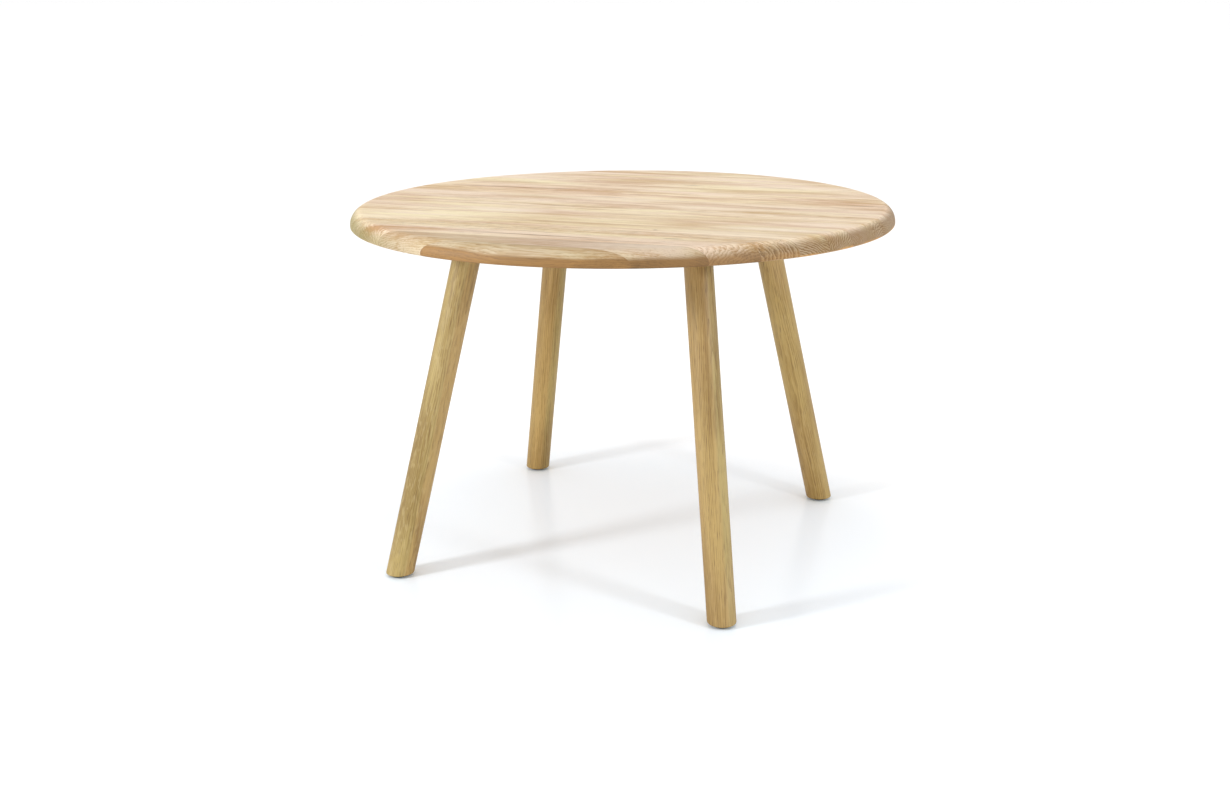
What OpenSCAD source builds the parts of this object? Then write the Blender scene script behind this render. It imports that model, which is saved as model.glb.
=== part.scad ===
// Round dining table: a solid oak top of edge-glued staves on four splayed round legs.
// Millimetres. The origin lies on the floor under the centre of the top, +Z is up,
// +X runs along the staves, and the front of the table is -Y.

/* [Top] */
// Diameter of the round top
top_d = 1150; // [1000:10:1600]
// Height of the upper face above the floor
table_h = 756; // [600:1:1100]
// Thickness of the top
top_t = 33; // [30:1:50]
// Number of oak staves glued into the board that the top is cut from
stave_count = 18; // [8:2:24]
// Wood of the board that is cut away outside the circle on either side
board_margin = 28; // [5:1:30]
// Radius of the wide round-over on the upper edge
edge_r = 28; // [4:1:45]
// Width of the small chamfer on the lower edge
arris_w = 2; // [0.5:0.5:4]

/* [Legs] */
// Diameter of a leg
leg_d = 58; // [46:1:80]
// Radius of the circle on which the legs meet the underside
mount_circle_r = 340; // [260:5:420]
// Angle between a leg and the vertical, in degrees
splay = 14.8; // [0:0.2:20]
// Width of the softened edge round each foot
foot_chamfer = 3; // [0.5:0.5:5]
// Turn of the front left leg about its bolt, in degrees
turn_angle_front_left = 1; // [-15:0.5:15]
// Turn of the front right leg about its bolt, in degrees
turn_angle_front_right = -11.5; // [-15:0.5:15]
// Turn of the back right leg about its bolt, in degrees
turn_angle_back_right = 4.5; // [-15:0.5:15]
// Turn of the back left leg about its bolt, in degrees
turn_angle_back_left = -1; // [-15:0.5:15]

/* [Leg plates] */
// Diameter of the steel plate that carries a leg
plate_d = 100; // [90:2:130]
// Thickness of the plate
plate_t = 5; // [3:0.5:8]
// Outer diameter of the threaded bush on the plate
bush_d = 20; // [16:1:26]
// Length of the bush above the plate
bush_l = 14; // [8:1:16]
// Number of wood screws in one plate
plate_screw_count = 6; // [3:1:10]
// Distance from the plate's rim to the screw axes
plate_screw_inset = 12; // [8:1:16]
// Diameter of the bolt that stands in the top of a leg
bolt_d = 12; // [8:1:14]
// Length of the bolt inside the leg
bolt_in_leg = 50; // [30:5:60]

/* [Stiffening channels] */
// Distance from the centre to each outer channel
channel_offset = 400; // [385:5:430]
// Width of a channel
channel_w = 40; // [25:1:50]
// Height of a channel
channel_h = 16; // [8:1:22]
// Wall thickness of a channel
channel_wall = 3; // [2:0.5:4]
// Wood left between the end of a channel and the rim
channel_end = 60; // [40:5:120]
// Length of a slot for a channel screw
slot_l = 14; // [8:1:24]

/* [Screws] */
// Diameter of a wood screw in the top
screw_d = 5; // [3:0.5:6]
// Length of a wood screw in the top
screw_l = 25; // [16:1:26]
// Diameter of a screw head in the top
head_d = 9.6; // [8:0.1:11]
// Height of a channel screw's round head
pan_head_h = 3; // [2:0.5:4]
// Size across the corners of the hexagon socket in a wood screw
socket_d = 3; // [2:0.5:4]
// Depth of the hexagon socket in a wood screw
socket_depth = 1.8; // [1:0.2:2.4]

/* [Glides] */
// Diameter of the moulded glide under a foot
glide_d = 38; // [28:1:48]
// Thickness of the glide
glide_h = 4; // [2.5:0.5:6]
// Rim of the glide round the felt pad
glide_lip = 4; // [2:0.5:6]
// Thickness of the felt pad
felt_t = 2; // [1.5:0.5:5]
// Depth to which the felt pad is let into the glide
felt_recess = 1; // [0.5:0.25:1.25]
// Diameter of a glide screw
glide_screw_d = 3.5; // [2.5:0.5:5]
// Length of a glide screw
glide_screw_l = 20; // [12:1:30]
// Size across the corners of the socket in a glide screw
glide_socket_d = 2.2; // [1.4:0.2:2.4]
// Depth of the socket in a glide screw
glide_socket_depth = 1.1; // [0.6:0.1:1.3]

/* [Fits] */
// Room round steel that is let into the wood
let_in_gap = 0.5; // [0.3:0.1:1]
// Room round a bolt or screw in its hole
thread_gap = 0.1; // [0.05:0.05:0.3]
// Room round a felt pad in its glide
felt_gap = 0.3; // [0.2:0.1:0.6]

/* [Hidden] */
$fn = 96;
overcut = 1;
rim_fn = 240;
rim_land = 1;

top_r = top_d / 2;
leg_r = leg_d / 2;
underside_z = table_h - top_t;
edge_round = min(edge_r, top_t - arris_w - rim_land);
stave_w = (top_d + 2 * board_margin) / stave_count;

glide_web = glide_h - felt_recess;
glide_z = felt_t - felt_recess;
foot_z = glide_z + glide_h;
felt_d = glide_d - 2 * glide_lip;
leg_drop = underside_z - foot_z;
foot_x = leg_drop * tan(splay);

plate_screw_r = plate_d / 2 - plate_screw_inset;
hole_extra = 2 * thread_gap;
countersink_h = (head_d - screw_d) / 2;
countersink_land = 0.25;
glide_hole_l = glide_screw_l - glide_web + thread_gap;
glide_head_h = min(glide_web - countersink_land, glide_screw_d / 2);
glide_head_d = glide_screw_d + 2 * glide_head_h;
pan_crown_d = head_d * 0.75;
screw_tip = 1.2;

channel_xs = [0, -channel_offset, channel_offset];
channel_names = ["centre", "left", "right"];
slot_w = screw_d + 2 * let_in_gap;

LEGS = [
    ["front_left", 225, turn_angle_front_left],
    ["front_right", 315, turn_angle_front_right],
    ["back_right", 45, turn_angle_back_right],
    ["back_left", 135, turn_angle_back_left]
];

function stave_name(i) = str("top_stave_", i < 10 ? "0" : "", i);
function stave_lo(i) = (i - 1 - stave_count / 2) * stave_w;
function reaches(lo, hi, y, half) = y + half > lo && y - half < hi;
function mount_y(leg) = mount_circle_r * sin(leg[1]);
function channel_reach(x) = sqrt(pow(top_r, 2) - pow(abs(x) + channel_w / 2, 2)) - channel_end;
function channel_screw_ys(x) = [
    for (k = [0 : stave_count / 4], side = [-1, 1])
        let (y = (2 * k + 0.5) * stave_w)
        if (y + slot_l < channel_reach(x)) side * y
];

OAK_TOP = "#E2CCAE";
OAK_LEG = "#BC9E68";
STEEL = "#8E9195";
ZINC = "#B9BCC0";
NYLON = "#2B2723";
FELT = "#5B534A";

// Half outline of the top, from its axis to its rim
module top_outline() {
    shoulder = top_t - edge_round;
    square([top_r - edge_round, top_t]);
    polygon([[0, 0], [top_r - arris_w, 0], [top_r, arris_w], [top_r, shoulder], [0, shoulder]]);
    translate([top_r - edge_round, shoulder])
        intersection() {
            circle(r = edge_round);
            square(edge_round);
        }
}

// Countersunk screw that is driven upwards, with its head flush at z = 0
module countersunk_screw(d, head, head_h, length, socket, depth) {
    difference() {
        union() {
            cylinder(h = head_h, d1 = head, d2 = d);
            translate([0, 0, head_h]) cylinder(h = length - head_h - screw_tip, d = d);
            translate([0, 0, length - screw_tip]) cylinder(h = screw_tip, d1 = d, d2 = d / 2);
        }
        translate([0, 0, -overcut]) cylinder(h = depth + overcut, d = socket, $fn = 6);
    }
}

// Round-headed screw that is driven upwards, with its head below z = 0
module pan_screw() {
    difference() {
        union() {
            translate([0, 0, -pan_head_h]) cylinder(h = pan_head_h / 2, d1 = pan_crown_d, d2 = head_d);
            translate([0, 0, -pan_head_h / 2]) cylinder(h = pan_head_h / 2, d = head_d);
            cylinder(h = screw_l - screw_tip, d = screw_d);
            translate([0, 0, screw_l - screw_tip]) cylinder(h = screw_tip, d1 = screw_d, d2 = screw_d / 2);
        }
        translate([0, 0, -pan_head_h - overcut])
            cylinder(h = socket_depth + overcut, d = socket_d, $fn = 6);
    }
}

// Moves to the centre of a leg's plate on the underside
module at_plate(leg) {
    translate([mount_circle_r * cos(leg[1]), mount_circle_r * sin(leg[1]), underside_z]) children();
}

// Moves to a leg's bolt on the underside, with +X pointing the way that the leg splays
module at_mount(leg) {
    at_plate(leg) rotate([0, 0, leg[1] + leg[2]]) children();
}

// Moves to the centre of a foot's lower face
module at_foot(leg) {
    at_mount(leg) translate([foot_x, 0, -leg_drop]) children();
}

// Moves to each screw of a leg's plate
module at_plate_screws() {
    for (k = [0 : plate_screw_count - 1])
        rotate([0, 0, 360 * k / plate_screw_count])
            translate([plate_screw_r, 0, 0]) children();
}

// Space in the underside for a leg's plate, its bush and its screws
module plate_cut(leg) {
    at_plate(leg) {
        translate([0, 0, -overcut]) cylinder(h = plate_t + overcut, d = plate_d + 2 * let_in_gap);
        cylinder(h = plate_t + bush_l + let_in_gap, d = bush_d + 2 * let_in_gap);
        at_plate_screws() cylinder(h = screw_l + thread_gap, d = screw_d + hole_extra);
    }
}

// Grooves in the underside for one channel, and the holes of its screws
module channel_cut(x, lo, hi) {
    reach = channel_reach(x) + let_in_gap;
    translate([x, 0, underside_z]) {
        translate([-channel_w / 2 - let_in_gap, -reach, -overcut])
            cube([channel_w + 2 * let_in_gap, 2 * reach, channel_wall + overcut]);
        for (side = [-1, 1])
            translate([side * (channel_w - channel_wall) / 2 - channel_wall / 2 - let_in_gap, -reach, 0])
                cube([channel_wall + 2 * let_in_gap, 2 * reach, channel_h + let_in_gap]);
        for (y = channel_screw_ys(x))
            if (reaches(lo, hi, y, screw_d))
                translate([0, y, 0]) cylinder(h = screw_l + thread_gap, d = screw_d + hole_extra);
    }
}

module top_stave(i) {
    lo = stave_lo(i);
    hi = lo + stave_w;
    color(OAK_TOP)
        difference() {
            intersection() {
                translate([0, 0, underside_z]) rotate_extrude($fn = rim_fn) top_outline();
                translate([-top_r, lo, underside_z]) cube([top_d, stave_w, top_t]);
            }
            for (leg = LEGS)
                if (reaches(lo, hi, mount_y(leg), plate_d / 2 + let_in_gap)) plate_cut(leg);
            for (x = channel_xs)
                if (reaches(lo, hi, 0, channel_reach(x) + let_in_gap)) channel_cut(x, lo, hi);
        }
}

module leg(place) {
    color(OAK_LEG)
        difference() {
            intersection() {
                at_mount(place) rotate([0, -splay, 0])
                    cylinder(h = 2 * (leg_drop / cos(splay) + leg_d), d = leg_d, center = true);
                at_foot(place)
                    cylinder(h = leg_drop, r1 = leg_r - foot_chamfer, r2 = leg_r - foot_chamfer + leg_drop);
            }
            at_mount(place) translate([0, 0, -bolt_in_leg - thread_gap])
                cylinder(h = bolt_in_leg + thread_gap + overcut, d = bolt_d + hole_extra);
            at_foot(place) translate([0, 0, -overcut])
                cylinder(h = glide_hole_l + overcut, d = glide_screw_d + hole_extra);
        }
}

module leg_plate(place) {
    color(STEEL)
        at_plate(place) difference() {
            union() {
                cylinder(h = plate_t, d = plate_d);
                cylinder(h = plate_t + bush_l, d = bush_d);
            }
            translate([0, 0, -overcut])
                cylinder(h = plate_t + bush_l + 2 * overcut, d = bolt_d + hole_extra);
            at_plate_screws() {
                translate([0, 0, -overcut]) cylinder(h = plate_t + 2 * overcut, d = screw_d + hole_extra);
                cylinder(h = countersink_h, d1 = head_d + hole_extra, d2 = screw_d + hole_extra);
            }
        }
}

module leg_bolt(place) {
    color(ZINC)
        at_mount(place) {
            translate([0, 0, -bolt_in_leg]) cylinder(h = screw_tip, d1 = bolt_d - 2 * screw_tip, d2 = bolt_d);
            translate([0, 0, screw_tip - bolt_in_leg])
                cylinder(h = bolt_in_leg + plate_t + bush_l - 2 * screw_tip, d = bolt_d);
            translate([0, 0, plate_t + bush_l - screw_tip])
                cylinder(h = screw_tip, d1 = bolt_d, d2 = bolt_d - 2 * screw_tip);
        }
}

module plate_screws() {
    color(ZINC)
        for (leg = LEGS)
            at_plate(leg) at_plate_screws()
                countersunk_screw(screw_d, head_d, countersink_h, screw_l, socket_d, socket_depth);
}

module stiffening_channel(x) {
    reach = channel_reach(x);
    color(STEEL)
        translate([x, 0, underside_z]) difference() {
            translate([-channel_w / 2, -reach, 0]) cube([channel_w, 2 * reach, channel_h]);
            translate([channel_wall - channel_w / 2, -reach - overcut, channel_wall])
                cube([channel_w - 2 * channel_wall, 2 * (reach + overcut), channel_h]);
            for (y = channel_screw_ys(x))
                translate([0, y, -overcut]) {
                    for (side = [-1, 1])
                        translate([0, side * (slot_l - slot_w) / 2, 0])
                            cylinder(h = channel_wall + 2 * overcut, d = slot_w);
                    translate([-slot_w / 2, (slot_w - slot_l) / 2, 0])
                        cube([slot_w, slot_l - slot_w, channel_wall + 2 * overcut]);
                }
        }
}

module channel_screws() {
    color(ZINC)
        for (x = channel_xs, y = channel_screw_ys(x))
            translate([x, y, underside_z]) pan_screw();
}

module glide(place) {
    color(NYLON)
        at_foot(place) translate([0, 0, -glide_h]) difference() {
            cylinder(h = glide_h, d = glide_d);
            translate([0, 0, -overcut]) cylinder(h = felt_recess + overcut, d = felt_d + 2 * felt_gap);
            cylinder(h = glide_h + overcut, d = glide_screw_d + hole_extra);
            translate([0, 0, felt_recess])
                cylinder(h = glide_head_h, d1 = glide_head_d + hole_extra, d2 = glide_screw_d + hole_extra);
        }
}

module felt_pad(place) {
    color(FELT)
        at_foot(place) translate([0, 0, -foot_z]) cylinder(h = felt_t, d = felt_d);
}

module glide_screws() {
    color(ZINC)
        for (leg = LEGS)
            at_foot(leg) translate([0, 0, -glide_web])
                countersunk_screw(glide_screw_d, glide_head_d, glide_head_h, glide_screw_l,
                                  glide_socket_d, glide_socket_depth);
}

for (i = [1 : stave_count])
    top_stave(i);
for (place = LEGS) {
    leg(place);
    leg_plate(place);
    leg_bolt(place);
    glide(place);
    felt_pad(place);
}
for (k = [0 : len(channel_xs) - 1])
    stiffening_channel(channel_xs[k]);
plate_screws();
channel_screws();
glide_screws();
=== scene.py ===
# Round dining table of oiled oak: eighteen edge-glued staves on four splayed round legs.
# Metres, +Z up. +X runs along the staves and the front of the table is -Y.

import math
from collections import namedtuple

import bmesh
import bpy
from mathutils import Matrix, Vector


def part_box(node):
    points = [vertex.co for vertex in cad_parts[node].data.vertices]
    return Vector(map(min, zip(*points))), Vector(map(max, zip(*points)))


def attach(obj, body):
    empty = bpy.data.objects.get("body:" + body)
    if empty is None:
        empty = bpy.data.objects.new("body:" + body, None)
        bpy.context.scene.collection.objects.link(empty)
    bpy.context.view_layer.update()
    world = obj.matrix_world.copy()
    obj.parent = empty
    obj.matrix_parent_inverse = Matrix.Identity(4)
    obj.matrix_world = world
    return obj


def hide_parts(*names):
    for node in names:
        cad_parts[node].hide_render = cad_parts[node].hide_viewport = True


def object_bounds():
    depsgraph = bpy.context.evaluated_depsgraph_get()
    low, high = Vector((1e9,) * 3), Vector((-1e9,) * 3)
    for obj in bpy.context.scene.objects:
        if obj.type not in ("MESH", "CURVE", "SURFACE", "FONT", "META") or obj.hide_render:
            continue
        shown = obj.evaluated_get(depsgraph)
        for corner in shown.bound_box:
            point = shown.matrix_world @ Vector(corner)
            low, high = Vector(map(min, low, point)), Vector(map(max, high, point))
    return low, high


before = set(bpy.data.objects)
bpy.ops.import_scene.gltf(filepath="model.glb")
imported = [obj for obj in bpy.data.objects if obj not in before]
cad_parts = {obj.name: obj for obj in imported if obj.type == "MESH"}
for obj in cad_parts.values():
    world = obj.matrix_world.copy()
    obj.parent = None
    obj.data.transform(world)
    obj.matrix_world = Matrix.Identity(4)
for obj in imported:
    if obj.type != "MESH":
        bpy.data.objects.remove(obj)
CAD_LOW, CAD_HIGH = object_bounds()

bl_info = {
    "name": "Oak Dining Table",
    "version": (1, 0, 0),
    "blender": (4, 5, 0),
    "location": "3D View > Sidebar > Table",
    "description": "Builds a round oak dining table piece by piece",
    "category": "Object",
}

MM = 0.001
PLACES = ("front_left", "front_right", "back_right", "back_left")
PLACE_BEARINGS = (225, 315, 45, 135)
CHANNELS = ("centre", "left", "right")
STAVES = sorted(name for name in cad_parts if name.startswith("top_stave_"))

TOP_RADIUS = (CAD_HIGH.x - CAD_LOW.x) / 2
TOP_HEIGHT = CAD_HIGH.z
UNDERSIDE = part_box("top_stave_09")[0].z
STAVE_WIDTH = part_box("top_stave_09")[1].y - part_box("top_stave_09")[0].y
FOOT_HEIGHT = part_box("leg_front_left")[0].z
PLATE_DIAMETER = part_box("leg_plate_front_left")[1].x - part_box("leg_plate_front_left")[0].x
CHANNEL_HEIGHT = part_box("stiffening_channel_centre")[1].z - UNDERSIDE
CHANNEL_WIDTH = 2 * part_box("stiffening_channel_centre")[1].x
GLIDE_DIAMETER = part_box("glide_front_left")[1].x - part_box("glide_front_left")[0].x
GLIDE_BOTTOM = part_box("glide_front_left")[0].z
FELT_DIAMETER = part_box("felt_pad_front_left")[1].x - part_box("felt_pad_front_left")[0].x
FELT_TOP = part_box("felt_pad_front_left")[1].z

# Faces that meet at less than this angle are shaded as one curve
SHARP_ANGLE = math.radians(30)
# Width of the flat ring that keeps the shading of a flat face apart from the curve beside it
FLAT_RING = 3 * MM
# A cutting tool starts this far outside the face that it cuts
OVERCUT = 1 * MM
# Room round a screw or a bolt in its hole
HOLE_ROOM = 0.1 * MM
# Lays a solid that was extruded upwards along Y
ALONG_Y = Matrix.Rotation(math.radians(90), 4, "X")
# Each stave, and each leg, is cut this many millimetres further along the noise than the one
# before it, so that no two look alike
STAVE_STEP = 1370.0
LEG_STEP = 2210.0
# The floor reaches this far each way, so that its edge is lost in the white
FLOOR_REACH = 400.0
# The camera sees this far, and its sensor is this many millimetres wide
SIGHT = 1000.0
SENSOR_WIDTH = 36.0


def linear(code):
    """An sRGB hex colour such as '#E2CCAE' as linear red, green and blue."""
    values = [int(code[i:i + 2], 16) / 255 for i in (1, 3, 5)]
    return tuple(v / 12.92 if v <= 0.04045 else ((v + 0.055) / 1.055) ** 2.4 for v in values)


def length_setting(label, words, usual, least, most):
    """A length that a user may change, given in millimetres."""
    return bpy.props.FloatProperty(
        name=label, description=words,
        default=usual * MM, min=least * MM, max=most * MM, unit="LENGTH")


def colour_setting(label, words, code):
    """A colour that a user may change, given as an sRGB hex code."""
    return bpy.props.FloatVectorProperty(
        name=label, description=words, default=linear(code), subtype="COLOR")


# Sizes and colours that a user may change

class TopSettings(bpy.types.PropertyGroup):
    """Sizes of the round top."""

    edge_radius: length_setting(
        "Edge radius", "Radius of the wide round-over on the upper edge", 28, 4, 30)
    lower_chamfer: length_setting(
        "Lower chamfer", "Width of the small chamfer on the lower edge", 2, 0.5, 3)
    edge_steps: bpy.props.IntProperty(
        name="Edge steps", description="Faces across the round-over", default=18, min=4, max=40)
    rim_steps: bpy.props.IntProperty(
        name="Rim steps", description="Faces round the rim", default=480, min=96, max=960)


class LegSettings(bpy.types.PropertyGroup):
    """Sizes of the four legs."""

    diameter: length_setting("Diameter", "Diameter of a leg", 58, 40, 80)
    splay: bpy.props.FloatProperty(
        name="Splay", description="Angle between a leg and the vertical",
        default=math.radians(14.8), min=0.0, max=math.radians(20), subtype="ANGLE")
    foot_edge: length_setting("Foot edge", "Width of the softened edge round a foot", 3, 0.5, 6)
    mount_radius: length_setting(
        "Mount radius", "Radius of the circle on which the legs meet the underside", 340, 250, 420)
    turns: bpy.props.FloatVectorProperty(
        name="Turns", description="Turn of the front left, front right, back right and back left leg",
        size=4, default=[math.radians(angle) for angle in (1.0, -11.5, 4.5, -1.0)])
    steps: bpy.props.IntProperty(
        name="Steps", description="Faces round a leg", default=128, min=32, max=256)


class FittingSettings(bpy.types.PropertyGroup):
    """Sizes and colours of the steel, nylon and felt parts."""

    plate_thickness: length_setting("Plate thickness", "Thickness of a leg plate", 5, 3, 8)
    bush_diameter: length_setting(
        "Bush diameter", "Outer diameter of the threaded bush on a plate", 20, 16, 26)
    bush_length: length_setting("Bush length", "Length of the bush above its plate", 14, 8, 16)
    bolt_diameter: length_setting("Bolt diameter", "Diameter of the bolt in the top of a leg", 12, 8, 14)
    bolt_depth: length_setting("Bolt depth", "Length of the bolt inside a leg", 50, 30, 60)
    plate_screws: bpy.props.IntProperty(
        name="Plate screws", description="Number of wood screws in a plate", default=6, min=3, max=10)
    screw_circle: length_setting("Screw circle", "Radius of the circle of screws in a plate", 38, 30, 42)
    screw_diameter: length_setting("Screw diameter", "Diameter of a wood screw in the top", 5, 3, 6)
    screw_length: length_setting("Screw length", "Length of a wood screw in the top", 25, 16, 26)
    head_diameter: length_setting("Head diameter", "Diameter of a screw head in the top", 9.6, 8, 11)
    head_height: length_setting("Head height", "Height of a round screw head", 3, 2, 4)
    socket_size: length_setting("Socket size", "Size of a hexagon socket across its corners", 3, 2, 4)
    socket_depth: length_setting("Socket depth", "Depth of a hexagon socket", 1.8, 1, 2.4)
    channel_wall: length_setting(
        "Channel wall", "Thickness of the steel that a channel is folded from", 3, 2, 4)
    slot_length: length_setting("Slot length", "Length of a slot for a channel screw", 14, 8, 24)
    room: length_setting("Room", "Room round steel that is let into the oak", 0.5, 0.3, 1)
    coat_colour: colour_setting("Powder coat", "Colour of the plates and channels", "#2A2A2C")
    zinc_colour: colour_setting("Zinc", "Colour of the screws and bolts", "#C3C7CC")
    nylon_colour: colour_setting("Nylon", "Colour of the glides", "#2B2723")
    felt_colour: colour_setting("Felt", "Colour of the felt pads", "#5B534A")


class OakSettings(bpy.types.PropertyGroup):
    """Colours and finish of the oak."""

    dark_streak: colour_setting(
        "Dark streaks", "Colour that the darker streaks of the top tend to", "#BA8B52")
    pale_streak: colour_setting(
        "Pale streaks", "Colour that the paler streaks of the top tend to", "#FCEFDA")
    mark: colour_setting("Marks", "Colour of single dark lines in the grain", "#7E5A37")
    heartwood: colour_setting("Heartwood", "Colour of the brown heartwood at the underside", "#B98A4C")
    left_ends: colour_setting("Left ends", "Colour that the end grain at the left tends to", "#7F7332")
    right_ends: colour_setting("Right ends", "Colour that the end grain at the right tends to", "#785824")
    pores: colour_setting("Pores", "Colour of the open pores", "#5E4022")
    leg_dark_streak: colour_setting(
        "Leg dark streaks", "Colour that the darker streaks of the legs tend to", "#80632B")
    leg_pale_streak: colour_setting(
        "Leg pale streaks", "Colour that the paler streaks of the legs tend to", "#C3AE79")
    roughness: bpy.props.FloatProperty(
        name="Roughness", description="How dull the oiled surface is",
        default=0.57, min=0.1, max=1.0, subtype="FACTOR")
    leg_film: bpy.props.FloatProperty(
        name="Leg film", description="Share of the legs' surface that a satin film of oil covers",
        default=0.35, min=0.0, max=1.0, subtype="FACTOR")
    pore_depth: length_setting("Pore depth", "Depth of the open pores", 0.1, 0.0, 0.5)


class StageSettings(bpy.types.PropertyGroup):
    """Camera, floor and light."""

    camera_place: bpy.props.FloatVectorProperty(
        name="Camera place", description="Where the camera stands",
        default=(1.0768, -2.9908, 1.2245), subtype="XYZ", unit="LENGTH")
    camera_bearing: bpy.props.FloatProperty(
        name="Camera bearing", description="Direction in which the camera looks, from +X",
        default=math.radians(110.14), subtype="ANGLE")
    camera_pitch: bpy.props.FloatProperty(
        name="Camera pitch", description="Angle by which the camera looks down",
        default=math.radians(16.05), subtype="ANGLE")
    camera_lean: bpy.props.FloatProperty(
        name="Camera lean", description="Angle by which the camera leans to its right",
        default=math.radians(0.44), subtype="ANGLE")
    lens: bpy.props.FloatProperty(
        name="Lens", description="Focal length in millimetres on a 36 mm wide sensor",
        default=43.63, min=20.0, max=120.0)
    sky: bpy.props.FloatProperty(
        name="Sky", description="Strength of the even white light from all round",
        default=0.87, min=0.0, max=2.0)
    key_place: bpy.props.FloatVectorProperty(
        name="Key place", description="Where the main lamp stands, in front at the left",
        default=(-1.74, -1.98, 1.42), subtype="XYZ", unit="LENGTH")
    key_size: bpy.props.FloatProperty(
        name="Key size", description="Diameter of the main lamp",
        default=0.45, min=0.05, max=3.0, unit="LENGTH")
    key_power: bpy.props.FloatProperty(
        name="Key power", description="Power of the main lamp in watts",
        default=30.0, min=0.0, max=2000.0)
    fill_place: bpy.props.FloatVectorProperty(
        name="Fill place", description="Where the weaker lamp stands, at the right",
        default=(1.94, -0.79, 1.15), subtype="XYZ", unit="LENGTH")
    fill_size: bpy.props.FloatProperty(
        name="Fill size", description="Diameter of the weaker lamp",
        default=0.28, min=0.05, max=3.0, unit="LENGTH")
    fill_power: bpy.props.FloatProperty(
        name="Fill power", description="Power of the weaker lamp in watts",
        default=9.0, min=0.0, max=2000.0)
    floor_bounce: bpy.props.FloatProperty(
        name="Floor bounce", description="Share of the light that the white floor throws back on the table",
        default=0.84, min=0.0, max=1.0, subtype="FACTOR")
    # Painted shade: the floor is made to look dimmer near the table than further out, a painted pool of
    # shade.
    floor_near_painted_shade: bpy.props.FloatProperty(
        name="Floor near", description="How bright the white floor looks under the table",
        default=1.10, min=0.5, max=2.0)
    floor_far: bpy.props.FloatProperty(
        name="Floor far", description="How bright the white floor looks away from the table",
        default=1.35, min=0.5, max=2.0)


# Meshes

def hexagon_share(angle):
    """Distance to a hexagon's side at an angle, as a share of the distance to its corners."""
    side = math.radians(60)
    return math.cos(side / 2) / math.cos(angle % side - side / 2)


def turned(outline, steps, hollow=False):
    """A solid turned round Z from an outline of radii and heights.

    Its ends are flat, or it is a ring if hollow. A third value of True turns that line of the
    outline into a hexagon, as in the socket of a screw.
    """
    shape = bmesh.new()
    rings = []
    for radius, height, *hexagonal in outline:
        ring = []
        for step in range(steps):
            angle = 2 * math.pi * step / steps
            reach = radius * hexagon_share(angle) if hexagonal else radius
            ring.append(shape.verts.new((reach * math.cos(angle), reach * math.sin(angle), height)))
        rings.append(ring)
    if hollow:
        rings.append(rings[0])
    else:
        shape.faces.new(rings[0])
        shape.faces.new(rings[-1])
    for upper, lower in zip(rings, rings[1:]):
        for step in range(steps):
            after = (step + 1) % steps
            shape.faces.new((upper[step], lower[step], lower[after], upper[after]))
    bmesh.ops.recalc_face_normals(shape, faces=shape.faces)
    return shape


def arc(centre, radius, start, end, steps):
    """Points on an arc, for an outline. The angles are in degrees."""
    points = []
    for step in range(steps + 1):
        angle = math.radians(start + (end - start) * step / steps)
        points.append((centre[0] + radius * math.cos(angle), centre[1] + radius * math.sin(angle)))
    return points


def extruded(outline, low, high):
    """A solid with a flat outline of x and y that stands from one height to another."""
    shape = bmesh.new()
    lower = [shape.verts.new((x, y, low)) for x, y in outline]
    upper = [shape.verts.new((x, y, high)) for x, y in outline]
    shape.faces.new(lower)
    shape.faces.new(upper)
    for step in range(len(outline)):
        after = (step + 1) % len(outline)
        shape.faces.new((lower[step], lower[after], upper[after], upper[step]))
    bmesh.ops.recalc_face_normals(shape, faces=shape.faces)
    return shape


def at_each(shape, places):
    """The same solid at each of the places, which are matrices, as one bmesh."""
    pattern = bpy.data.meshes.new("pattern")
    shape.to_mesh(pattern)
    shape.free()
    many = bmesh.new()
    for place in places:
        before = len(many.verts)
        many.from_mesh(pattern)
        many.verts.ensure_lookup_table()
        bmesh.ops.transform(many, matrix=place, verts=many.verts[before:])
    bpy.data.meshes.remove(pattern)
    return many


def together(*shapes):
    """Several solids as one bmesh."""
    whole = bmesh.new()
    for shape in shapes:
        mesh = bpy.data.meshes.new("part")
        shape.to_mesh(mesh)
        shape.free()
        whole.from_mesh(mesh)
        bpy.data.meshes.remove(mesh)
    return whole


def carved(shape, tools):
    """A solid with the tools cut out of it. The tools may overlap one another."""
    objects = []
    for name, part in (("work", shape), ("tools", tools)):
        mesh = bpy.data.meshes.new(name)
        part.to_mesh(mesh)
        part.free()
        objects.append(bpy.data.objects.new(name, mesh))
        bpy.context.scene.collection.objects.link(objects[-1])
    work, cutter = objects
    cut = work.modifiers.new("cut", "BOOLEAN")
    cut.operation = "DIFFERENCE"
    cut.solver = "EXACT"
    cut.use_self = True
    cut.object = cutter
    result = bmesh.new()
    result.from_object(work, bpy.context.evaluated_depsgraph_get())
    for item in objects:
        mesh = item.data
        bpy.data.objects.remove(item)
        bpy.data.meshes.remove(mesh)
    if not result.faces:
        raise RuntimeError("A cut left nothing of the solid")
    return result


def trim(shape, point, outward):
    """Cuts a solid along a plane, drops what lies outward of it and closes the cut."""
    geometry = shape.verts[:] + shape.edges[:] + shape.faces[:]
    cut = bmesh.ops.bisect_plane(
        shape, geom=geometry, dist=1e-7, plane_co=point, plane_no=outward, clear_outer=True)
    edges = [item for item in cut["geom_cut"] if isinstance(item, bmesh.types.BMEdge)]
    if edges:
        bmesh.ops.contextual_create(shape, geom=edges)


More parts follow.
